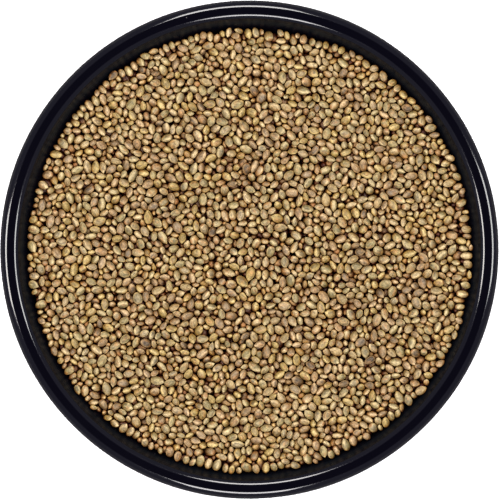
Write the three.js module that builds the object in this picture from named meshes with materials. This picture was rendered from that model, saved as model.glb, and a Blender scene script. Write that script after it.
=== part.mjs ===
// A round, glossy black dish with a thick rolled rim, filled almost to the rim with whole hemp seeds.
// Millimetres, +Z up. The origin is at the middle of the dish's foot, on the surface that it stands on.
import * as THREE from "three";

// ---- Driving dimensions ----

// Whole hemp seeds: an average one is about 3.7 mm long, and that sets the scale of all the rest.
const SEED_LENGTH = 3.7;
const SEED_WIDTH = 2.9;
const SEED_THICKNESS = 2.4;

// The dish: one moulded piece.
const DISH_DIAMETER = 215;
const DISH_HEIGHT = 38;
const WALL_THICKNESS = 3.2;
const WALL_SLOPE = THREE.MathUtils.degToRad(60); // steepness of the wall, from the horizontal

// Its rim: a narrow flat band between a rounded outer edge and a rounded inner edge.
const RIM_OUTER_ROUND = 3.6;
const RIM_FLAT = 1.9;
const RIM_INNER_ROUND = 3;
const RIM_THICKNESS = 5.2;
const RIM_UNDER_ROUND = 1.4;

// Its floor: flat, with a rounded corner up into the wall and a foot ring under it.
const FLOOR_HEIGHT = 6; // from the surface that the dish stands on to the inside of the floor
const CORNER_ROUND = 14;
const FOOT_WIDTH = 3.6;
const FOOT_DRAFT = 0.6;

// The seeds fill the dish to this far below the rim, with a surface that is uneven by a little more
// than half a seed's thickness.
const SEEDS_BELOW_RIM = 6.7;
const SURFACE_SWELL = 0.35;
const BUMP_HEIGHT = 0.7 * SEED_THICKNESS;
const CLEARANCE = 0.4; // between the seeds and the dish

// How finely round shapes are divided.
const DISH_SEGMENTS = 68;
const FILL_SEGMENTS = 50;

// ---- Profile of the dish, as [radius, height] ----

// Points on an arc. Angles are in radians, from the +radius direction towards +height.
function arc(centre, radius, fromAngle, toAngle, steps) {
  const points = [];
  for (let step = 0; step <= steps; step++) {
    const angle = fromAngle + ((toAngle - fromAngle) * step) / steps;
    points.push([centre[0] + radius * Math.cos(angle), centre[1] + radius * Math.sin(angle)]);
  }
  return points;
}

const DOWN = -Math.PI / 2;
const UP = Math.PI / 2;

const rimRadius = DISH_DIAMETER / 2;
const rimFlatOuter = rimRadius - RIM_OUTER_ROUND;
const rimFlatInner = rimFlatOuter - RIM_FLAT;

// The inner wall starts where the rounded inner edge of the rim has turned as steep as the wall.
const wallTop = [
  rimFlatInner - RIM_INNER_ROUND * Math.sin(WALL_SLOPE),
  DISH_HEIGHT - RIM_INNER_ROUND * (1 - Math.cos(WALL_SLOPE)),
];

// Radius of the wall at a height, moved inwards by a distance measured square to the wall.
function wallRadius(height, inwards) {
  return wallTop[0] - (wallTop[1] - height) / Math.tan(WALL_SLOPE) - inwards / Math.sin(WALL_SLOPE);
}

// The rounded corner between floor and wall, moved inwards by a distance square to its surface.
const cornerCentre = [
  wallRadius(FLOOR_HEIGHT + CORNER_ROUND, CORNER_ROUND),
  FLOOR_HEIGHT + CORNER_ROUND,
];

function corner(inwards, steps) {
  return arc(cornerCentre, CORNER_ROUND - inwards, DOWN, DOWN + WALL_SLOPE, steps);
}

function dishProfile() {
  const underside = FLOOR_HEIGHT - WALL_THICKNESS;
  const footOuter = cornerCentre[0] + FOOT_DRAFT;
  const footInner = footOuter - FOOT_WIDTH;
  const rimUnderside = DISH_HEIGHT - RIM_THICKNESS;
  const underCentre = [rimRadius - RIM_UNDER_ROUND, rimUnderside + RIM_UNDER_ROUND];
  const outerCentre = [rimFlatOuter, DISH_HEIGHT - RIM_OUTER_ROUND];
  const innerCentre = [rimFlatInner, DISH_HEIGHT - RIM_INNER_ROUND];
  const foot = [
    [0, underside],
    [footInner - FOOT_DRAFT, underside],
    [footInner, 0],
    [footOuter, 0],
    [footOuter + FOOT_DRAFT, underside],
  ];
  const outerWall = [
    ...corner(-WALL_THICKNESS, 3).slice(1),
    [wallRadius(rimUnderside, -WALL_THICKNESS), rimUnderside],
  ];
  const rim = [
    ...arc(underCentre, RIM_UNDER_ROUND, DOWN, 0, 2),
    ...arc(outerCentre, RIM_OUTER_ROUND, 0, UP, 4),
    ...arc(innerCentre, RIM_INNER_ROUND, UP, UP + WALL_SLOPE, 3),
  ];
  const inside = [...corner(0, 3).reverse(), [0, FLOOR_HEIGHT]];
  return [...foot, ...outerWall, ...rim, ...inside];
}

// ---- Surface of the seeds ----

// Random numbers that come out the same on every run.
let randomState = 73;
function random(low, high) {
  randomState = (randomState * 1664525 + 1013904223) % 4294967296;
  return low + ((high - low) * randomState) / 4294967296;
}

const seedLevel = DISH_HEIGHT - SEEDS_BELOW_RIM;
const fillRadius = wallRadius(seedLevel, CLEARANCE);

// Each seed that shows takes up an ellipse a little smaller than its own outline, as its neighbours
// overlap it. A square grid of cells, one cell to a seed, is bent into the round surface.
const SHOWING_SHARE = 1.36;
const HOLLOW_SHIFT = 0.28; // how far a hollow and a seed's top may move, as a share of a cell
const TOP_SHIFT = 0.12;
const seedArea = (Math.PI / 4) * SEED_LENGTH * SEED_WIDTH * SHOWING_SHARE;
const cellsAcross = Math.round(Math.sqrt((Math.PI * fillRadius ** 2) / seedArea));
const cellSize = Math.sqrt((Math.PI * fillRadius ** 2) / cellsAcross ** 2);

// Turns the square from -1 to 1 into the round surface, keeping all cells the same area: each square
// ring of cells becomes a round one.
function bendToCircle(across, along) {
  if (across === 0 && along === 0) return [0, 0];
  const sideways = Math.abs(across) > Math.abs(along);
  const ring = sideways ? across : along;
  const angle = sideways
    ? (Math.PI / 4) * (along / across)
    : Math.PI / 2 - (Math.PI / 4) * (across / along);
  return [fillRadius * ring * Math.cos(angle), fillRadius * ring * Math.sin(angle)];
}

// Height of the hollows between the seeds, which rises and falls gently over the dish.
function hollowHeight(x, y) {
  const swell = Math.sin(x / 21 + 0.8) * Math.cos(y / 27 - 0.5) + Math.sin((x - 1.4 * y) / 16);
  return seedLevel - BUMP_HEIGHT / 2 + (SURFACE_SWELL / 2) * swell;
}

// A corner of four cells: a hollow between seeds. One on the edge lies against the dish's wall, and
// one on a diagonal, where the cells are bent most, keeps closer to its place.
function hollow(column, row) {
  const atEdge = column % cellsAcross === 0 || row % cellsAcross === 0;
  const onDiagonal = column === row || column + row === cellsAcross;
  const [x, y] = bendToCircle((2 * column) / cellsAcross - 1, (2 * row) / cellsAcross - 1);
  const shift = atEdge ? 0 : HOLLOW_SHIFT * cellSize * (onDiagonal ? 0.3 : 1);
  const moved = new THREE.Vector3(x + random(-shift, shift), y + random(-shift, shift), 0);
  moved.z = hollowHeight(x, y) + random(-0.2, 0.2) * SEED_THICKNESS;
  if (atEdge) {
    const onWall = wallRadius(moved.z, CLEARANCE) / Math.hypot(x, y);
    moved.x *= onWall;
    moved.y *= onWall;
  }
  return moved;
}

// The top of a seed: above the middle of its cell, at a height of its own.
function seedTop(corners) {
  const top = new THREE.Vector3();
  corners.forEach((point) => top.addScaledVector(point, 1 / corners.length));
  top.x += random(-TOP_SHIFT, TOP_SHIFT) * cellSize;
  top.y += random(-TOP_SHIFT, TOP_SHIFT) * cellSize;
  top.z = hollowHeight(top.x, top.y) + BUMP_HEIGHT * random(0.65, 1.35);
  return top;
}

// Joins a ring of points to a ring below it that has as many points, or a whole part of them.
function joinRings(faces, upper, lower) {
  const share = upper.length / lower.length;
  const firstStep = -Math.floor(share / 2);
  const upperAt = (index) => upper[(index + upper.length) % upper.length];
  lower.forEach((low, index) => {
    for (let step = firstStep; step < firstStep + share; step++) {
      faces.push(upperAt(index * share + step), low, upperAt(index * share + step + 1));
    }
    if (lower.length > 1) {
      const nextLow = lower[(index + 1) % lower.length];
      faces.push(low, nextLow, upperAt(index * share + firstStep + share));
    }
  });
}

function seedsGeometry() {
  const points = [];
  const faces = [];
  const add = (point) => points.push(point) - 1;

  // The uneven top, with one four-sided bump for each seed that shows.
  const grid = [];
  for (let column = 0; column <= cellsAcross; column++) {
    grid.push([]);
    for (let row = 0; row <= cellsAcross; row++) grid[column].push(add(hollow(column, row)));
  }
  for (let column = 0; column < cellsAcross; column++) {
    for (let row = 0; row < cellsAcross; row++) {
      const corners = [
        grid[column][row],
        grid[column + 1][row],
        grid[column + 1][row + 1],
        grid[column][row + 1],
      ];
      const top = add(seedTop(corners.map((index) => points[index])));
      corners.forEach((here, side) => faces.push(here, corners[(side + 1) % 4], top));
    }
  }

  // The edge of the top, once round from the grid's first corner.
  const last = cellsAcross;
  const edge = [];
  for (let step = 0; step < last; step++) edge.push(grid[step][0]);
  for (let step = 0; step < last; step++) edge.push(grid[last][step]);
  for (let step = last; step > 0; step--) edge.push(grid[step][last]);
  for (let step = last; step > 0; step--) edge.push(grid[0][step]);

  // The side and the bottom, which follow the inside of the dish.
  const startAngle = Math.PI * 1.25;
  let ringAbove = edge;
  for (const [radius, height] of corner(CLEARANCE, 3).reverse()) {
    const ring = [];
    for (let step = 0; step < FILL_SEGMENTS; step++) {
      const angle = startAngle + (2 * Math.PI * step) / FILL_SEGMENTS;
      ring.push(add(new THREE.Vector3(radius * Math.cos(angle), radius * Math.sin(angle), height)));
    }
    joinRings(faces, ringAbove, ring);
    ringAbove = ring;
  }
  joinRings(faces, ringAbove, [add(new THREE.Vector3(0, 0, FLOOR_HEIGHT + CLEARANCE))]);

  const geometry = new THREE.BufferGeometry().setFromPoints(points);
  geometry.setIndex(faces);
  return geometry;
}

// ---- The pieces ----

function makeDish() {
  const profile = dishProfile().map(([radius, height]) => new THREE.Vector2(radius, height));
  const glossyBlack = new THREE.MeshStandardMaterial({
    color: 0x0b0b11,
    roughness: 0.12,
    metalness: 0,
  });
  const dish = new THREE.Mesh(new THREE.LatheGeometry(profile, DISH_SEGMENTS), glossyBlack);
  dish.name = "dish";
  dish.rotation.x = Math.PI / 2; // the profile was turned about Y, and stands up about Z
  return dish;
}

function makeSeeds() {
  const seedHusk = new THREE.MeshStandardMaterial({
    color: 0xa08257,
    roughness: 0.65,
    metalness: 0,
    flatShading: true,
  });
  const seeds = new THREE.Mesh(seedsGeometry(), seedHusk);
  seeds.name = "hemp_seeds";
  return seeds;
}

const dishOfHempSeeds = new THREE.Group();
dishOfHempSeeds.add(makeDish(), makeSeeds());

export default dishOfHempSeeds;
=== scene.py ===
import math

import bmesh
import bpy
import numpy as np
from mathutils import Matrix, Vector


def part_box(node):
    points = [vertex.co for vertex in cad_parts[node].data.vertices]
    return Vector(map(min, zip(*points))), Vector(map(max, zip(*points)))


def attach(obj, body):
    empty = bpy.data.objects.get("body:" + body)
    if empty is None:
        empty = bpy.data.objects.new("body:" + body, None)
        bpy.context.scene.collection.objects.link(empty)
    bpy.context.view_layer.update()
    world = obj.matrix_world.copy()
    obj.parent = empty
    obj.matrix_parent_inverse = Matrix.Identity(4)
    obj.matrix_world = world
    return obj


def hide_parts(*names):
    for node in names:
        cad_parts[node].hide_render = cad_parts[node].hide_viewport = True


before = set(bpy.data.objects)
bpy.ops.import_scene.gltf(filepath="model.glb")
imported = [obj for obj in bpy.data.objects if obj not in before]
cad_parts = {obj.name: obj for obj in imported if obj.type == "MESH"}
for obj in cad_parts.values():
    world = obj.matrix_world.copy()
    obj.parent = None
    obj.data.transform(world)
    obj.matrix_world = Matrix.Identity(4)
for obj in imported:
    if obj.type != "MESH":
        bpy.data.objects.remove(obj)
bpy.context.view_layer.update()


# ---- The dish ----
# A round serving dish, pressed in one piece from glossy black melamine. It has a foot ring, a flat
# floor, a straight flared wall and a thick rim, flat on top between two rounded edges.

MM = 0.001
rim_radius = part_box("dish")[1][0]
rim_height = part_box("dish")[1][2]
WALL_THICKNESS = 3.2 * MM
WALL_SLOPE = math.radians(60)
RIM_OUTER_ROUND = 3.6 * MM
RIM_FLAT = 1.9 * MM
RIM_INNER_ROUND = 3.0 * MM
RIM_THICKNESS = 5.2 * MM
RIM_UNDER_ROUND = 1.4 * MM
FLOOR_HEIGHT = 6.0 * MM
CORNER_ROUND = 14.0 * MM
FOOT_WIDTH = 3.6 * MM
FOOT_DRAFT = 0.6 * MM
FOOT_ROUND = 0.5 * MM
DISH_STEPS = 240
SAME_PLACE = 0.002 * MM

# Where the inner wall, drawn on straight, would meet the level of the rim.
half_turn = math.tan(WALL_SLOPE / 2)
rim_inner_corner = rim_radius - RIM_OUTER_ROUND - RIM_FLAT - RIM_INNER_ROUND * half_turn


def wall_radius(height, outwards=0.0):
    """Radius of the inner wall at a height, or of a line that runs outside it at a distance."""
    return (rim_inner_corner - (rim_height - height) / math.tan(WALL_SLOPE)
            + outwards / math.sin(WALL_SLOPE))


def pick_vertices(piece, wanted):
    """Selects, in edit mode, just the vertices for which wanted(place) is true."""
    bpy.ops.mesh.select_all(action="DESELECT")
    shape = bmesh.from_edit_mesh(piece.data)
    for vertex in shape.verts:
        vertex.select = wanted(vertex.co)
    shape.select_flush(True)
    bmesh.update_edit_mesh(piece.data)


def draw_outline(name, corners):
    """A new mesh that is one line of edges through the corners, each a [radius, height]."""
    bpy.ops.object.select_all(action="DESELECT")
    bpy.ops.mesh.primitive_plane_add(size=MM)
    piece = bpy.context.object
    piece.name = name
    bpy.ops.object.mode_set(mode="EDIT")
    bpy.ops.mesh.select_all(action="SELECT")
    bpy.ops.mesh.merge(type="CENTER")
    bpy.ops.transform.translate(value=(corners[0][0], 0, corners[0][1]))
    for here, there in zip(corners, corners[1:]):
        step = (there[0] - here[0], 0, there[1] - here[1])
        bpy.ops.mesh.extrude_region_move(TRANSFORM_OT_translate={"value": step})
    return piece


def round_corner(piece, corner, reach, steps):
    """Rounds one corner of an outline, from a distance before the corner to as far past it."""
    close_by = 0.01 * MM
    pick_vertices(piece, lambda place: math.hypot(place.x - corner[0], place.z - corner[1]) < close_by)
    bpy.ops.mesh.bevel(affect="VERTICES", offset=reach, segments=steps)


def turn_outline(steps):
    """Turns the outline once round the upright axis, into a closed body with its faces outwards."""
    bpy.ops.mesh.select_all(action="SELECT")
    bpy.ops.mesh.spin(steps=steps, angle=2 * math.pi, center=(0, 0, 0), axis=(0, 0, 1))
    bpy.ops.mesh.select_all(action="SELECT")
    bpy.ops.mesh.remove_doubles(threshold=SAME_PLACE)
    bpy.ops.mesh.normals_make_consistent(inside=False)
    bpy.ops.object.mode_set(mode="OBJECT")


underside = FLOOR_HEIGHT - WALL_THICKNESS
rim_underside = rim_height - RIM_THICKNESS
foot_outer = wall_radius(FLOOR_HEIGHT) - CORNER_ROUND * half_turn + FOOT_DRAFT
foot_inner = foot_outer - FOOT_WIDTH
foot_inside = (foot_inner, 0)
foot_outside = (foot_outer, 0)
foot_top = (foot_outer + FOOT_DRAFT, underside)
outer_corner = (wall_radius(underside, WALL_THICKNESS), underside)
under_rim = (wall_radius(rim_underside, WALL_THICKNESS), rim_underside)
rim_lower_edge = (rim_radius, rim_underside)
rim_upper_edge = (rim_radius, rim_height)
rim_inner_edge = (rim_inner_corner, rim_height)
inner_corner = (wall_radius(FLOOR_HEIGHT), FLOOR_HEIGHT)

dish = draw_outline("black_dish", [
    (0, underside),
    (foot_inner - FOOT_DRAFT, underside),
    foot_inside,
    foot_outside,
    foot_top,
    outer_corner,
    under_rim,
    rim_lower_edge,
    rim_upper_edge,
    rim_inner_edge,
    inner_corner,
    (0, FLOOR_HEIGHT),
])
round_corner(dish, foot_inside, FOOT_ROUND, steps=3)
round_corner(dish, foot_outside, FOOT_ROUND, steps=3)
round_corner(dish, outer_corner, outer_corner[0] - foot_top[0], steps=8)
round_corner(dish, rim_lower_edge, RIM_UNDER_ROUND, steps=6)
round_corner(dish, rim_upper_edge, RIM_OUTER_ROUND, steps=12)
round_corner(dish, rim_inner_edge, RIM_INNER_ROUND * half_turn, steps=10)
round_corner(dish, inner_corner, CORNER_ROUND * half_turn, steps=8)
turn_outline(DISH_STEPS)
bpy.ops.object.shade_smooth()
weighted = dish.modifiers.new("even_gloss", "WEIGHTED_NORMAL")
weighted.weight = 100
bpy.ops.object.modifier_apply(modifier=weighted.name)

# Which way each part faces: 1 is straight outwards or down, 0 is up, below 0 is inwards.
facing_out = dish.data.attributes.new("facing_out", "FLOAT", "POINT")
for vertex, facing in zip(dish.data.vertices, facing_out.data):
    from_axis = max(math.hypot(vertex.co.x, vertex.co.y), MM)
    outwards = (vertex.co.x * vertex.normal.x + vertex.co.y * vertex.normal.y) / from_axis
    facing.value = max(outwards, -vertex.normal.z)


def new_material(name):
    """A material with nodes, and a function that adds a node to it and sets what it takes in."""
    material = bpy.data.materials.new(name)
    material.use_nodes = True
    tree = material.node_tree
    tree.nodes.clear()

    def add(kind, inputs=None, **settings):
        node = tree.nodes.new(kind)
        for setting, value in settings.items():
            setattr(node, setting, value)
        for socket, value in (inputs or {}).items():
            if isinstance(value, bpy.types.NodeSocket):
                tree.links.new(value, node.inputs[socket])
            else:
                node.inputs[socket].default_value = value
        return node

    return material, add


def fade(add, value, start, stop, low=0.0, high=1.0):
    """A number that goes from low to high while another goes from start to stop."""
    between = add("ShaderNodeMapRange", {"Value": value, "From Min": start, "From Max": stop,
                                         "To Min": low, "To Max": high})
    return between.outputs["Result"]


def mix(add, share, one, other):
    """The first of two colours, with a share of the other mixed in."""
    mixed = add("ShaderNodeMix", {"Factor": share, "A": one, "B": other}, data_type="RGBA")
    return mixed.outputs["Result"]


def calculate(add, operation, *numbers):
    """One sum on numbers, such as ADD, MULTIPLY, or MULTIPLY_ADD, which adds the third."""
    return add("ShaderNodeMath", dict(enumerate(numbers)), operation=operation).outputs["Value"]


DISH_BLACK = (0.0036, 0.0033, 0.0065, 1)
DUST = (0.09, 0.085, 0.08, 1)
DUST_FILM = (0.0055, 0.0075, 0.0105, 1)
SPECK_EDGE = 0.045
SPECK_CORE = 0.02
CLEAN_SHARE = 0.86
# The dust film grows from the rim's inner corner to FILM_FROM below it, is full down to FILM_TO, and has
# faded into painted shade at the seeds by FILM_END.
FILM_FROM = 2.0 * MM
FILM_TO = 2.5 * MM
FILM_END = 4.0 * MM
POLISHED = 0.07
WORN = 0.13
DUST_DULLNESS = 0.4
FILM_DULLNESS = 0.22
SATIN_DULLNESS = 0.35
GLOSSY_FACING = 0.66
SATIN_FACING = 0.8
GLOSSY_MIRRORING = 0.5
SATIN_MIRRORING = 0.1

glossy_black, add = new_material("glossy_black_melamine")
place = add("ShaderNodeTexCoord").outputs["Object"]
# Specks of dust: a round dot in a few of the cells of a coarse pattern.
specks = add("ShaderNodeTexVoronoi", {"Vector": place, "Scale": 150.0})
dot = fade(add, specks.outputs["Distance"], SPECK_EDGE, SPECK_CORE)
draw = add("ShaderNodeSeparateColor", {"Color": specks.outputs["Color"]})
few = calculate(add, "GREATER_THAN", draw.outputs["Red"], CLEAN_SHARE)
dust = calculate(add, "MULTIPLY", dot, few)
# A thin film of seed dust on the inside of the wall. Towards the seeds it fades out, and that dark foot of
# the wall is painted shade: the shadow of the gap where the seeds meet the wall.
upright = add("ShaderNodeVectorMath", {0: place, 1: (1, 1, 0)}, operation="MULTIPLY")
radius = add("ShaderNodeVectorMath", {0: upright.outputs["Vector"]}, operation="LENGTH").outputs["Value"]
film_top = fade(add, radius, rim_inner_corner, rim_inner_corner - FILM_FROM)
film_fading_into_painted_shade = fade(add, radius, rim_inner_corner - FILM_END, rim_inner_corner - FILM_TO)
dust_film_and_painted_shade = calculate(add, "MULTIPLY", film_top, film_fading_into_painted_shade)
colour = mix(add, dust, mix(add, dust_film_and_painted_shade, DISH_BLACK, DUST_FILM), DUST)
# Fine wear: the gloss is a little duller in soft patches and where dust lies.
patches = add("ShaderNodeTexNoise", {"Vector": place, "Scale": 60.0, "Detail": 4.0})
dulling = fade(add, patches.outputs["Fac"], 0.35, 0.7, POLISHED, WORN)
dusty = calculate(add, "MULTIPLY_ADD", dust, DUST_DULLNESS, dulling)
filmed = calculate(add, "MULTIPLY_ADD", dust_film_and_painted_shade, FILM_DULLNESS, dusty)
ripple = add("ShaderNodeTexNoise", {"Vector": place, "Scale": 240.0, "Detail": 2.0})
bump = add("ShaderNodeBump", {"Height": ripple.outputs["Fac"], "Strength": 0.02, "Distance": 0.0004})
# The outside, from the rim's edge down, is satin and mirrors little of what the dish stands on.
facing = add("ShaderNodeAttribute", attribute_name="facing_out").outputs["Fac"]
satin = fade(add, facing, GLOSSY_FACING, SATIN_FACING)
shader = add("ShaderNodeBsdfPrincipled", {
    "Base Color": colour,
    "Roughness": calculate(add, "MULTIPLY_ADD", satin, SATIN_DULLNESS, filmed),
    "Specular IOR Level": fade(add, satin, 0.0, 1.0, GLOSSY_MIRRORING, SATIN_MIRRORING),
    "IOR": 1.42,
    "Normal": bump.outputs["Normal"],
})
add("ShaderNodeOutputMaterial", {"Surface": shader.outputs["BSDF"]})
dish.data.materials.append(glossy_black)
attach(dish, "root")
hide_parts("dish")


# ---- The seeds underneath ----
# The rest of the heap, down to the dish's floor. Only dark glimpses of it show between the upper seeds,
# so it is one bumpy mass: the heap's own solid, with its top let down below them.

SEEDS_BELOW_RIM = 6.7 * MM
CORE_DROP = 5.0 * MM
MERGE_DISTANCE = 0.005 * MM
# The underneath's colours are painted shade: the husks' colour darkened as if deep in the heap's shadow, and
# darker still where its bumps meet.
HUSK_IN_PAINTED_SHADE = (0.16, 0.09, 0.035, 1)
PAINTED_SHADE_IN_GAPS = (0.03, 0.016, 0.007, 1)
seed_level = rim_height - SEEDS_BELOW_RIM

core = bpy.data.objects.new("seeds_underneath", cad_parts["hemp_seeds"].data.copy())
bpy.context.collection.objects.link(core)
core.data.materials.clear()
bpy.ops.object.select_all(action="DESELECT")
core.select_set(True)
bpy.context.view_layer.objects.active = core
bpy.ops.object.mode_set(mode="EDIT")
bpy.ops.mesh.select_all(action="SELECT")
bpy.ops.mesh.remove_doubles(threshold=MERGE_DISTANCE)
pick_vertices(core, lambda place: place.z > seed_level - CORE_DROP)
bpy.ops.transform.translate(value=(0, 0, -CORE_DROP))
drawn_in = wall_radius(seed_level - CORE_DROP) / wall_radius(seed_level)
bpy.ops.transform.resize(value=(drawn_in, drawn_in, 1), center_override=(0, 0, 0))
bpy.ops.object.mode_set(mode="OBJECT")

painted_shade_husk, add = new_material("husks_in_painted_shade")
place = add("ShaderNodeTexCoord").outputs["Object"]
grains = add("ShaderNodeTexVoronoi", {"Vector": place, "Scale": 320.0})
# Painted shade: the grains are dark, and darkest at their edges.
painted_grain_shade = add("ShaderNodeValToRGB", {"Fac": grains.outputs["Distance"]})
painted_grain_shade.color_ramp.elements[0].color = HUSK_IN_PAINTED_SHADE
painted_grain_shade.color_ramp.elements[1].color = PAINTED_SHADE_IN_GAPS
bump = add("ShaderNodeBump", {"Height": grains.outputs["Distance"], "Strength": 0.6, "Distance": 0.001})
bump.invert = True
shader = add("ShaderNodeBsdfPrincipled", {
    "Base Color": painted_grain_shade.outputs["Color"],
    "Roughness": 0.6,
    "Normal": bump.outputs["Normal"],
})
add("ShaderNodeOutputMaterial", {"Surface": shader.outputs["BSDF"]})
core.data.materials.append(painted_shade_husk)
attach(core, "root")
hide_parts("hemp_seeds")


# ---- One hemp seed ----
# A whole hemp seed is a small nut: a smooth, hard, egg-shaped husk, a little flattened. It has a blunt
# end with a round scar, a short point at the other end, and a fine seam all round between its halves.
# It is modelled on its blunt end, from -1 to 1 each way: X is its width, Y its thickness, Z its length.

SEED_SIDES = 10
SEED_RINGS = 7
END_FLATTENING = 0.05
END_HEIGHT = 0.99
RING_REACH = 0.05
SEAM_REACH = 0.01
OFF_AXIS = 0.1


def make_seed(name, ring_widths, point, seam):
    """One husk: ring_widths swells or narrows its rings from the top down, point draws out its top end,
    and seam raises its seam."""
    bpy.ops.object.select_all(action="DESELECT")
    bpy.ops.mesh.primitive_uv_sphere_add(segments=SEED_SIDES, ring_count=SEED_RINGS, radius=1)
    seed = bpy.context.object
    seed.name = name
    bpy.ops.object.mode_set(mode="EDIT")
    for ring, width in enumerate(ring_widths, start=1):
        ring_height = math.cos(math.pi * ring / SEED_RINGS)
        pick_vertices(seed, lambda place: abs(place.z - ring_height) < RING_REACH)
        bpy.ops.transform.resize(value=(width, width, 1), center_override=(0, 0, 0))
    pick_vertices(seed, lambda place: place.z > END_HEIGHT)
    bpy.ops.transform.translate(value=(0, 0, point))
    pick_vertices(seed, lambda place: place.z < -END_HEIGHT)
    bpy.ops.transform.translate(value=(0, 0, END_FLATTENING))
    pick_vertices(seed, lambda place: abs(place.y) < SEAM_REACH and abs(place.x) > OFF_AXIS)
    bpy.ops.transform.resize(value=(seam, 1, 1), center_override=(0, 0, 0))
    bpy.ops.object.mode_set(mode="OBJECT")
    return seed


common_seed = make_seed("common_seed", (0.86, 0.93, 0.99, 1.02, 1.04, 1.08), 0.06, 1.05)
pointed_seed = make_seed("pointed_seed", (0.72, 0.87, 0.96, 1.02, 1.04, 1.03), 0.13, 1.07)
plump_seed = make_seed("plump_seed", (1.0, 1.0, 1.0, 1.0, 1.02, 1.12), 0.03, 1.03)
slim_seed = make_seed("slim_seed", (0.76, 0.92, 1.0, 1.0, 0.93, 0.84), 0.12, 1.06)
seed_models = [common_seed, pointed_seed, plump_seed, slim_seed]
# The share of all seeds that has each model's shape.
MODEL_SHARES = (0.34, 0.3, 0.14, 0.22)


# ---- How the seeds lie ----
# Thousands of seeds were poured into the dish and shaken level, so they lie as they fell: mostly on
# their flat sides and wedged between their neighbours, with two more layers that show in the gaps.
# They start in loose layers, sink, are pushed apart and turned, and are pressed nearly level.

# An average seed, how much seeds differ in size and in proportions, and the share of their size at which
# they push one another and are drawn.
SEED_WIDTH = 3.15 * MM
SEED_THICKNESS = 2.8 * MM
SEED_LENGTH = 4.7 * MM
SIZE_SPREAD = 0.16
SMALLEST = 0.68
LARGEST = 1.34
NARROWEST = 0.92
WIDEST = 1.08
PACKED_SIZE = 0.96

# The heap's surface: its swell and the lengths of that swell's waves, its tilt and its rise at the wall,
# how deep the seeds lie under it, and how far they stick out of it before they are pressed down.
SWELL = 0.25 * MM
SWELL_ACROSS = 0.021
SWELL_ALONG = 0.027
SWELL_SLANTING = 0.016
TILT = 0.005
EDGE_RISE = 2.1 * MM
EDGE_WIDTH = 7.0 * MM
BED_DEPTH = 6.2 * MM
TOP_ROUGHNESS = 1.6 * MM

# The loose layers: how far apart they are, how high the lowest lies above the bed and how far from the
# wall it stays, how much wider each is than the one below, and how far apart their seeds are. The shifts
# from layer to layer are in columns and in rows, and the random one is in millimetres.
LAYERS = 3
LAYER_STEP = 3.1 * MM
LOWEST_LAYER = 1.6 * MM
LAYER_INSET = 2.0 * MM
LAYER_WIDENING = 1.2 * MM
LOOSE_PITCH = 3.85 * MM
COLUMN_SHIFT = 0.37
ROW_SHIFT = 0.29
JITTER = 0.5

chance = np.random.default_rng(5)


def surface_level(x, y):
    """Height of the seeds' surface: it swells gently, tilts a little, and rises close to the wall."""
    swell = (np.sin(x / SWELL_ACROSS + 0.8) * np.cos(y / SWELL_ALONG - 0.5)
             + np.sin((x - 1.4 * y) / SWELL_SLANTING))
    off_wall = wall_radius(seed_level) - np.hypot(x, y)
    rise = EDGE_RISE * np.clip(1 - off_wall / EDGE_WIDTH, 0, 1)
    return seed_level + SWELL * swell + TILT * (x - y) + rise


def unit(vectors):
    """The same directions, each with a length of 1."""
    return vectors / np.linalg.norm(vectors, axis=1)[:, None]


def turned(length, thickness):
    """Turns, as matrices, that bring a seed's Z along length, and its Y as near as can be to thickness."""
    length = unit(length)
    thickness = unit(thickness - (thickness * length).sum(axis=1)[:, None] * length)
    return np.stack([np.cross(thickness, length), thickness, length], axis=-1)


def loose_layers():
    """Places of the seeds before they sink: layers of a loose grid, each shifted from the last."""
    # The rows of a grid of triangles with equal sides are closer together than its columns.
    row_spacing = math.sin(math.pi / 3)
    across = int(rim_radius / LOOSE_PITCH / row_spacing)
    column, row = np.meshgrid(np.arange(-across, across + 1), np.arange(-across, across + 1))
    layers = []
    for layer in range(LAYERS):
        x = (column + 0.5 * (row % 2) + COLUMN_SHIFT * layer) * LOOSE_PITCH
        y = (row * row_spacing + ROW_SHIFT * layer) * LOOSE_PITCH
        z = surface_level(x, y) - BED_DEPTH + LOWEST_LAYER + layer * LAYER_STEP
        inside = np.hypot(x, y) < wall_radius(seed_level) - LAYER_INSET + layer * LAYER_WIDENING
        layers.append(np.stack([x[inside], y[inside], z[inside]], axis=1))
    places = np.concatenate(layers)
    return places + chance.uniform(-JITTER, JITTER, places.shape) * MM


def near_pairs(centres, reach, margin):
    """Every pair of seeds close enough to touch, found from the cells of a square grid."""
    cell = 2 * reach.max() + margin
    side = int(3 * rim_radius / cell) + 2
    grid = ((centres[:, :2] + 1.5 * rim_radius) // cell).astype(int)
    cell_of = grid[:, 0] * side + grid[:, 1]
    order = np.argsort(cell_of, kind="stable")
    start = np.searchsorted(cell_of[order], np.arange(side * side))
    stop = np.searchsorted(cell_of[order], np.arange(side * side), side="right")
    slots = np.arange((stop - start).max())
    held = order[np.minimum(start[:, None] + slots, len(order) - 1)]
    members = np.where(slots < (stop - start)[:, None], held, -1)
    occupied = np.unique(cell_of)
    firsts = []
    seconds = []
    # A cell is paired with itself and with half of the cells round it, so that no pair comes up twice.
    for offset in (0, 1, side - 1, side, side + 1):
        one, other = np.broadcast_arrays(members[occupied][:, :, None],
                                         members[occupied + offset][:, None, :])
        real = (one >= 0) & (other >= 0) & ((offset > 0) | (one < other))
        one = one[real]
        other = other[real]
        apart = np.linalg.norm(centres[other] - centres[one], axis=1)
        near = apart < reach[one] + reach[other] + margin
        firsts.append(one[near])
        seconds.append(other[near])
    return np.concatenate(firsts), np.concatenate(seconds)


def furthest(forms, direction):
    """The point of each seed that lies furthest in a direction, and how far that is."""
    point = np.einsum("nij,nj->ni", forms, direction)
    distance = np.sqrt((point * direction).sum(axis=1))
    return point / distance[:, None], distance


# How often the direction of a contact is improved, and the share of the correction that is made.
DIRECTION_TRIES = 2
DIRECTION_SHARE = 0.35


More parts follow.
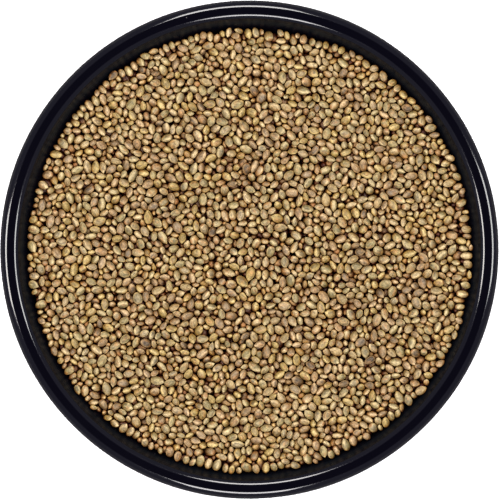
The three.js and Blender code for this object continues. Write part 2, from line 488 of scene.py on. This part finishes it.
def contact(forms_one, forms_other, between):
    """The direction in which two seeds overlap least, by how much, and where they meet."""
    direction = unit(between)
    for _ in range(DIRECTION_TRIES):
        one, reach_one = furthest(forms_one, direction)
        other, reach_other = furthest(forms_other, direction)
        slope = one + other - between
        slope -= (slope * direction).sum(axis=1)[:, None] * direction
        direction = unit(direction - DIRECTION_SHARE * slope / (reach_one + reach_other)[:, None])
    one, reach_one = furthest(forms_one, direction)
    other, reach_other = furthest(forms_other, direction)
    overlap = reach_one + reach_other - (between * direction).sum(axis=1)
    return direction, overlap, (one + between - other) / 2


def sum_by_seed(seeds, vectors, count):
    """The sum of the vectors that belong to each seed."""
    return np.stack([np.bincount(seeds, vectors[:, axis], count) for axis in range(3)], axis=1)


# A seed makes the sum of its moves, times PUSH, shared out among its contacts, and turns no more than
# MOST_TURN radians in a step. TINY_TURN stands in for no turn at all, where it is divided by.
PUSH = 1.9
FEWEST_CONTACTS = 1.6
MOST_TURN = 0.15
TINY_TURN = 1e-9


def push_seeds_apart(centres, turns, forms, ease, one, other):
    """Moves and turns each seed by its share of every overlap with its neighbours."""
    count = len(centres)
    direction, overlap, meeting = contact(forms[one], forms[other], centres[other] - centres[one])
    touching = overlap > 0
    one = one[touching]
    other = other[touching]
    direction = direction[touching]
    overlap = overlap[touching]
    meeting = meeting[touching]
    twist_one = np.cross(meeting, direction)
    twist_other = np.cross(meeting - (centres[other] - centres[one]), direction)
    # Two seeds give way the more easily, the further off their middles they are pushed.
    give = 2 + (twist_one ** 2).sum(axis=1) * ease[one] + (twist_other ** 2).sum(axis=1) * ease[other]
    share = (overlap / give)[:, None]
    both = np.concatenate([one, other])
    moves = np.concatenate([-share * direction, share * direction])
    twists = np.concatenate([-share * ease[one][:, None] * twist_one,
                             share * ease[other][:, None] * twist_other])
    damping = (PUSH / np.maximum(np.bincount(both, minlength=count), FEWEST_CONTACTS))[:, None]
    move = sum_by_seed(both, moves, count) * damping
    turn = sum_by_seed(both, twists, count) * damping
    turn *= np.minimum(1, MOST_TURN / np.maximum(np.linalg.norm(turn, axis=1), TINY_TURN))[:, None]
    length = turns[:, :, 2] + np.cross(turn, turns[:, :, 2])
    thickness = turns[:, :, 1] + np.cross(turn, turns[:, :, 1])
    return centres + move, turned(length, thickness)


# The share of what sticks out too far by which a seed is pressed down in a step.
PRESSING = 0.5


def keep_in_dish(centres, forms):
    """Lifts seeds that are too deep, presses down those that stick out, and pushes seeds off the wall."""
    count = len(centres)
    upright = np.tile((0.0, 0.0, 1.0), (count, 1))
    half_height = furthest(forms, upright)[1]
    level = surface_level(centres[:, 0], centres[:, 1])
    too_deep = np.maximum(level - BED_DEPTH - (centres[:, 2] - half_height), 0)
    too_high = np.maximum(centres[:, 2] + half_height - level - TOP_ROUGHNESS, 0)
    centres = centres + np.column_stack([np.zeros((count, 2)), too_deep - PRESSING * too_high])
    radius = np.maximum(np.hypot(centres[:, 0], centres[:, 1]), MM)
    inwards = -math.sin(WALL_SLOPE) * centres[:, :2] / radius[:, None]
    off_wall = np.column_stack([inwards, np.full(count, math.cos(WALL_SLOPE))])
    room = ((rim_inner_corner - radius) * math.sin(WALL_SLOPE)
            - (rim_height - centres[:, 2]) * math.cos(WALL_SLOPE))
    lacking = np.maximum(furthest(forms, -off_wall)[1] - room, 0)
    return centres + off_wall * lacking[:, None]


# Leans, in radians: of a seed's length from level, of its flat side, and from the wall's own direction.
LENGTH_LEAN = 0.42
FLAT_SIDE_LEAN = 0.5
LEAN_FROM_WALL = 0.5
BESIDE_WALL = 4.0 * MM

centres = loose_layers()
seed_count = len(centres)
size = np.clip(chance.lognormal(0, SIZE_SPREAD, seed_count), SMALLEST, LARGEST)
halves = np.array([SEED_WIDTH, SEED_THICKNESS, SEED_LENGTH]) / 2 * size[:, None]
halves *= chance.uniform(NARROWEST, WIDEST, halves.shape)
heading = chance.uniform(0, 2 * math.pi, seed_count)
along_wall = (np.arctan2(centres[:, 1], centres[:, 0]) + math.pi / 2
              + chance.normal(0, LEAN_FROM_WALL, seed_count))
beside_wall = np.hypot(centres[:, 0], centres[:, 1]) > wall_radius(seed_level) - BESIDE_WALL
heading = np.where(beside_wall, along_wall, heading)
length = np.column_stack([np.cos(heading), np.sin(heading), chance.normal(0, LENGTH_LEAN, seed_count)])
thickness = np.column_stack([chance.normal(0, FLAT_SIDE_LEAN, (seed_count, 2)), np.ones(seed_count)])
turns = turned(length, thickness)

# The seeds sink a little in each step, and come to rest in the last fifth of the steps.
SINK_STEPS = 200
SINKING_SHARE = 0.8
SINK = 0.05 * MM
PAIRS_EVERY = 8
PAIRS_MARGIN = 0.5 * MM

reach = halves.max(axis=1)
squares = halves ** 2
# How easily each seed turns when it is pushed off its middle, as its inertia has it.
ease = 5 / (squares.sum(axis=1) - squares.min(axis=1))
for step in range(SINK_STEPS):
    if step % PAIRS_EVERY == 0:
        one, other = near_pairs(centres, reach, PAIRS_MARGIN)
    centres[:, 2] -= SINK if step < SINKING_SHARE * SINK_STEPS else 0
    forms = np.einsum("nij,nj,nkj->nik", turns, squares * PACKED_SIZE ** 2, turns)
    centres, turns = push_seeds_apart(centres, turns, forms, ease, one, other)
    centres = keep_in_dish(centres, forms)


# ---- Which seeds show ----
# Only the upper seeds can be seen, and they hide most of the two layers below them. A map of the heap
# from above tells which seeds show, and the others are left out.

MAP_STEP = 0.25 * MM
LEAST_SEEN = 0.4 * MM ** 2
EMPTY = -1
map_side = int(2 * rim_radius / MAP_STEP)


def map_from_above(centres, turns, halves):
    """Two maps of the heap, as seen from above: the height at each place, and the seed that shows there."""
    forms = np.einsum("nij,nj,nkj->nik", turns, 1 / halves ** 2, turns)
    heights = np.full((map_side, map_side), float(EMPTY))
    owners = np.full((map_side, map_side), EMPTY)
    patch = np.arange(-int(halves.max() / MAP_STEP) - 1, int(halves.max() / MAP_STEP) + 2)
    across, along = np.meshgrid(patch, patch)
    for seed in np.argsort(centres[:, 2]):
        column = across + int(centres[seed, 0] / MAP_STEP + map_side / 2)
        row = along + int(centres[seed, 1] / MAP_STEP + map_side / 2)
        x = (column + 0.5 - map_side / 2) * MAP_STEP - centres[seed, 0]
        y = (row + 0.5 - map_side / 2) * MAP_STEP - centres[seed, 1]
        form = forms[seed]
        flat = form[0, 0] * x ** 2 + 2 * form[0, 1] * x * y + form[1, 1] * y ** 2 - 1
        lean = form[0, 2] * x + form[1, 2] * y
        inside = lean ** 2 - form[2, 2] * flat
        top = centres[seed, 2] + (np.sqrt(np.maximum(inside, 0)) - lean) / form[2, 2]
        shows = (inside > 0) & (top > heights[row, column])
        heights[row[shows], column[shows]] = top[shows]
        owners[row[shows], column[shows]] = seed
    return heights, owners


halves *= PACKED_SIZE
heights, owners = map_from_above(centres, turns, halves)
seen = np.bincount(owners[owners > EMPTY], minlength=seed_count) * MAP_STEP ** 2 > LEAST_SEEN
centres = centres[seen]
turns = turns[seen]
halves = halves[seen]
seed_count = len(centres)


# ---- The seeds, by colour ----
# Ripe husks run from beige and grey-green to golden, rosy and brown, with a paler seam and a darker
# scar. Each kind is one piece: copies of the modelled seeds, each at its own place, size and turn.

# The painted shade down between the seeds and beside the wall: how far round a place the tops are looked
# for, and how deep under them it starts and is full.
NEARBY = 1.5 * MM
SHADE_FROM = 1.0 * MM
SHADE_TO = 2.7 * MM


def tops_nearby(heights):
    """A map of how high the seeds or the wall round each place reach: the highest near by, evened out."""
    steps = range(-round(NEARBY / MAP_STEP), round(NEARBY / MAP_STEP) + 1)
    along = (np.arange(map_side) + 0.5 - map_side / 2) * MAP_STEP
    radius = np.hypot(along[:, None], along)
    wall_height = rim_height - (rim_inner_corner - radius) * math.tan(WALL_SLOPE)
    heights = np.maximum(heights, np.clip(wall_height, seed_level - SEED_THICKNESS, rim_height))
    for evening in (np.max, np.mean):
        for axis in (0, 1):
            heights = evening([np.roll(heights, step, axis) for step in steps], axis=0)
    return heights


def shade_at(points):
    """How far down between its neighbours each point lies, from 0 on the tops to 1 in deep gaps."""
    column, row = (points[:, :2] / MAP_STEP + map_side / 2).astype(int).T
    depth = tops[row, column] - points[:, 2]
    return np.clip((depth - SHADE_FROM) / (SHADE_TO - SHADE_FROM), 0, 1)


def model_arrays(model):
    """The vertices, the corners of the faces, and where each face's corners start."""
    mesh = model.data
    vertices = np.empty(3 * len(mesh.vertices))
    mesh.vertices.foreach_get("co", vertices)
    corners = np.empty(len(mesh.loops), dtype=np.int32)
    mesh.loops.foreach_get("vertex_index", corners)
    starts = np.empty(len(mesh.polygons), dtype=np.int32)
    mesh.polygons.foreach_get("loop_start", starts)
    return vertices.reshape(-1, 3), corners, starts


def join_seeds(name, chosen, tones):
    """One mesh of the chosen seeds, which keeps each point's place on its own seed, and the seed's tones."""
    placed = []
    places = []
    seed_tones = []
    all_corners = []
    all_starts = []
    vertex_total = 0
    corner_total = 0
    for number, (vertices, corners, starts) in enumerate(seed_arrays):
        group = chosen[model_of[chosen] == number]
        copies = np.arange(len(group))[:, None]
        scaled = vertices[None] * halves[group][:, None]
        turned_seeds = np.einsum("nij,nvj->nvi", turns[group], scaled)
        placed.append((turned_seeds + centres[group][:, None]).reshape(-1, 3))
        places.append(np.tile(vertices, (len(group), 1)))
        seed_tones.append(np.repeat(tones[group], len(vertices), axis=0))
        all_corners.append((corners + len(vertices) * copies + vertex_total).ravel())
        all_starts.append((starts + len(corners) * copies + corner_total).ravel())
        vertex_total += len(group) * len(vertices)
        corner_total += len(group) * len(corners)
    starts = np.concatenate(all_starts)
    mesh = bpy.data.meshes.new(name)
    mesh.vertices.add(vertex_total)
    mesh.loops.add(corner_total)
    mesh.polygons.add(len(starts))
    mesh.vertices.foreach_set("co", np.concatenate(placed).ravel())
    mesh.loops.foreach_set("vertex_index", np.concatenate(all_corners))
    mesh.polygons.foreach_set("loop_start", starts)
    mesh.update(calc_edges=True)
    mesh.polygons.foreach_set("use_smooth", np.ones(len(starts), dtype=bool))
    for attribute, values in (("seed_place", places), ("seed_tone", seed_tones)):
        layer = mesh.attributes.new(attribute, "FLOAT_VECTOR", "POINT")
        layer.data.foreach_set("vector", np.concatenate(values).ravel())
    # Painted shade: how deep each point lies under the seeds' and the wall's tops near by, from 0 to 1.
    layer = mesh.attributes.new("painted_seed_shade", "FLOAT", "POINT")
    layer.data.foreach_set("value", shade_at(np.concatenate(placed)))
    piece = bpy.data.objects.new(name, mesh)
    bpy.context.collection.objects.link(piece)
    return piece


# The colours of all kinds: of the scar, of a red blush, of a grey bloom, and the painted shade, which the
# husks' own colours are multiplied with part of the way down a gap and at its foot.
SCAR = (0.19, 0.09, 0.032, 1)
BLUSH = (0.250, 0.136, 0.050, 1)
BLOOM = (0.235, 0.185, 0.130, 1)
PAINTED_SHADE_MIDWAY_COLOUR = (0.90, 0.75, 0.54, 1)
PAINTED_SHADE_AT_FOOT = (0.20, 0.06, 0.010, 1)
PAINTED_SHADE_MIDWAY_AT = 0.4
# How strong each of them gets, and where on a seed it starts and is in full.
BLOOM_FROM = 0.4
MOST_BLOOM = 0.5
SPOTS_FROM = 0.34
SPOTS_TO = 0.66
DARKEST_SPOT = 0.43
LIGHTEST_SPOT = 1.24
BLUSH_FROM = 0.5
BLUSH_TO = 0.7
MOST_BLUSH = 0.65
SEAM_HALF_WIDTH = 0.4
SEAM_FADES_TO = 0.75
SCAR_FROM = -0.8
SCAR_TO = -0.92
MOST_SCAR = 0.7
PATTERN_SHIFT = (40, 40, 40)


def husk_material(name, dark, light, seam):
    """A waxy husk between two colours, mottled, with a paler seam, a darker scar, and painted shade down
    between the seeds.
    """
    material, add = new_material(name)
    place = add("ShaderNodeAttribute", attribute_name="seed_place").outputs["Vector"]
    tone = add("ShaderNodeAttribute", attribute_name="seed_tone").outputs["Vector"]
    tones = add("ShaderNodeSeparateXYZ", {"Vector": tone})
    body = mix(add, tones.outputs["X"], dark, light)
    # Some seeds have a greyish bloom.
    blooming = fade(add, tones.outputs["Y"], BLOOM_FROM, 1.0, 0.0, MOST_BLOOM)
    bloomed = mix(add, blooming, body, BLOOM)
    # Mottling and a red blush, from another part of the pattern on each seed.
    shifted = add("ShaderNodeVectorMath", {0: tone, 1: PATTERN_SHIFT, 2: place}, operation="MULTIPLY_ADD")
    own_place = shifted.outputs["Vector"]
    mottle = add("ShaderNodeTexNoise", {"Vector": own_place, "Scale": 1.6, "Detail": 5.0,
                                        "Roughness": 0.62, "Distortion": 0.6})
    spotting = fade(add, mottle.outputs["Fac"], SPOTS_FROM, SPOTS_TO, DARKEST_SPOT, LIGHTEST_SPOT)
    blotches = add("ShaderNodeTexNoise", {"Vector": own_place, "Scale": 0.9, "Detail": 1.0})
    blushing = fade(add, blotches.outputs["Fac"], BLUSH_FROM, BLUSH_TO, 0.0, MOST_BLUSH)
    blushed = mix(add, blushing, bloomed, BLUSH)
    # The seam runs where the two halves meet, and the scar is at the blunt end.
    where = add("ShaderNodeSeparateXYZ", {"Vector": place})
    off_seam = calculate(add, "ABSOLUTE", where.outputs["Y"])
    on_seam = fade(add, off_seam, SEAM_HALF_WIDTH, SEAM_FADES_TO, 1.0, 0.0)
    seamed = mix(add, on_seam, blushed, seam)
    mottled = add("ShaderNodeVectorMath", {0: seamed, 1: spotting}, operation="MULTIPLY")
    at_scar = fade(add, where.outputs["Z"], SCAR_FROM, SCAR_TO, 0.0, MOST_SCAR)
    scarred = mix(add, at_scar, mottled.outputs["Vector"], SCAR)
    # Painted shade: down between the seeds, and beside the wall, the husks are darker and warmer the deeper
    # they lie under the tops near by.
    shade = add("ShaderNodeAttribute", attribute_name="painted_seed_shade").outputs["Fac"]
    shading = add("ShaderNodeValToRGB", {"Fac": shade})
    shading.color_ramp.elements[0].color = (1, 1, 1, 1)
    shading.color_ramp.elements[1].color = PAINTED_SHADE_AT_FOOT
    shading.color_ramp.elements.new(PAINTED_SHADE_MIDWAY_AT).color = PAINTED_SHADE_MIDWAY_COLOUR
    shaded = add("ShaderNodeVectorMath", {0: scarred, 1: shading.outputs["Color"]}, operation="MULTIPLY")
    bump = add("ShaderNodeBump", {"Height": mottle.outputs["Fac"], "Strength": 0.25, "Distance": 0.0002})
    shader = add("ShaderNodeBsdfPrincipled", {
        "Base Color": shaded.outputs["Vector"],
        "Roughness": 0.5,
        "IOR": 1.45,
        "Normal": bump.outputs["Normal"],
    })
    add("ShaderNodeOutputMaterial", {"Surface": shader.outputs["BSDF"]})
    return material


# Each kind: its share of all the seeds, its darkest and lightest colour, and the colour of its seam.
KINDS = {
    "beige_seeds": (0.29, (0.178, 0.131, 0.061, 1), (0.234, 0.172, 0.084, 1), (0.325, 0.249, 0.140, 1)),
    "olive_seeds": (0.30, (0.145, 0.117, 0.054, 1), (0.218, 0.174, 0.084, 1), (0.307, 0.245, 0.135, 1)),
    "golden_seeds": (0.19, (0.171, 0.122, 0.043, 1), (0.234, 0.170, 0.063, 1), (0.32, 0.243, 0.111, 1)),
    "rosy_seeds": (0.15, (0.157, 0.103, 0.050, 1), (0.224, 0.154, 0.080, 1), (0.315, 0.229, 0.130, 1)),
    "brown_seeds": (0.07, (0.074, 0.050, 0.027, 1), (0.165, 0.113, 0.056, 1), (0.24, 0.169, 0.093, 1)),
}
tops = tops_nearby(heights)
seed_arrays = [model_arrays(model) for model in seed_models]
for model in seed_models:
    bpy.data.objects.remove(model)
model_of = chance.choice(len(seed_arrays), seed_count, p=MODEL_SHARES)
kind_of = chance.choice(len(KINDS), seed_count, p=[share for share, *_ in KINDS.values()])
tones = chance.uniform(0, 1, (seed_count, 3))
for number, (name, (_, dark, light, seam)) in enumerate(KINDS.items()):
    piece = join_seeds(name, np.flatnonzero(kind_of == number), tones)
    piece.data.materials.append(husk_material("husk_of_" + name, dark, light, seam))
    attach(piece, "root")
    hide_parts("hemp_seeds")


# ---- The studio ----
# A plain pale floor inside a white light tent, four soft lights round the dish, high up, and a camera
# straight above it. The tent is open at the top, which keeps the flat black of the rim black.

FLOOR_SIZE = 12
PAPER_WHITE = (0.8, 0.8, 0.8, 1)

bpy.ops.object.select_all(action="DESELECT")
bpy.ops.mesh.primitive_plane_add(size=FLOOR_SIZE)
floor = bpy.context.object
floor.name = "pale_floor"
pale_paper, add = new_material("pale_paper")
shader = add("ShaderNodeBsdfPrincipled", {"Base Color": PAPER_WHITE, "Roughness": 0.9})
add("ShaderNodeOutputMaterial", {"Surface": shader.outputs["BSDF"]})
floor.data.materials.append(pale_paper)

TENT_WHITE = (0.58, 0.58, 0.66, 1)
TENT_OPENING = (0.04, 0.04, 0.045, 1)
WHITE_UP_TO = 0.88
OPEN_FROM = 0.96

world = bpy.data.worlds.new("light_tent")
bpy.context.scene.world = world
world.use_nodes = True
links = world.node_tree.links
direction = world.node_tree.nodes.new("ShaderNodeTexCoord")
upwards = world.node_tree.nodes.new("ShaderNodeSeparateXYZ")
links.new(direction.outputs["Generated"], upwards.inputs["Vector"])
tent = world.node_tree.nodes.new("ShaderNodeValToRGB")
links.new(upwards.outputs["Z"], tent.inputs["Fac"])
tent.color_ramp.elements[0].position = WHITE_UP_TO
tent.color_ramp.elements[0].color = TENT_WHITE
tent.color_ramp.elements[1].position = OPEN_FROM
tent.color_ramp.elements[1].color = TENT_OPENING
links.new(tent.outputs["Color"], world.node_tree.nodes["Background"].inputs["Color"])

LIGHT_DISTANCE = 1.05
LIGHT_ELEVATION = math.radians(54)
LIGHT_HEIGHT = 0.36
QUARTER_TURN = math.pi / 2
# Each light: the direction it stands in, in degrees, its width, its power and its colour.
LIGHTS = {
    "right": (5, 0.34, 5.6, (1.0, 1.0, 0.97)),
    "back": (93, 0.34, 6.2, (1.0, 0.98, 0.95)),
    "left": (182, 0.28, 5.8, (1.0, 0.96, 0.92)),
    "front": (267, 0.31, 5.6, (1.0, 0.98, 0.97)),
}


def add_softbox(side, azimuth, width, power, colour):
    """A wide soft light that faces the middle of the dish."""
    light = bpy.data.lights.new(side + "_light", "AREA")
    light.shape = "RECTANGLE"
    light.size = width
    light.size_y = LIGHT_HEIGHT
    light.energy = power
    light.color = colour
    softbox = bpy.data.objects.new(side + "_light", light)
    bpy.context.collection.objects.link(softbox)
    sideways = LIGHT_DISTANCE * math.cos(LIGHT_ELEVATION)
    softbox.location = (sideways * math.cos(azimuth), sideways * math.sin(azimuth),
                        LIGHT_DISTANCE * math.sin(LIGHT_ELEVATION))
    softbox.rotation_euler = (QUARTER_TURN - LIGHT_ELEVATION, 0, azimuth + QUARTER_TURN)


for side, (azimuth, width, power, colour) in LIGHTS.items():
    add_softbox(side, math.radians(azimuth), width, power, colour)

# The picture is a little wider than the dish, which stands a little off its middle.
CAMERA_HEIGHT = 1.5
PICTURE_WIDTH = 215.68 * MM
CAMERA_RIGHT = 0.26 * MM
CAMERA_FORWARD = -0.16 * MM
SENSOR_WIDTH = 36
camera = bpy.data.objects.new("camera", bpy.data.cameras.new("camera"))
bpy.context.collection.objects.link(camera)
camera.data.sensor_width = SENSOR_WIDTH
camera.data.lens = SENSOR_WIDTH * CAMERA_HEIGHT / PICTURE_WIDTH
camera.location = (CAMERA_RIGHT, CAMERA_FORWARD, rim_height - RIM_OUTER_ROUND + CAMERA_HEIGHT)
bpy.context.scene.camera = camera
bpy.context.scene.view_settings.view_transform = "Standard"
bpy.context.scene.view_settings.look = "High Contrast"
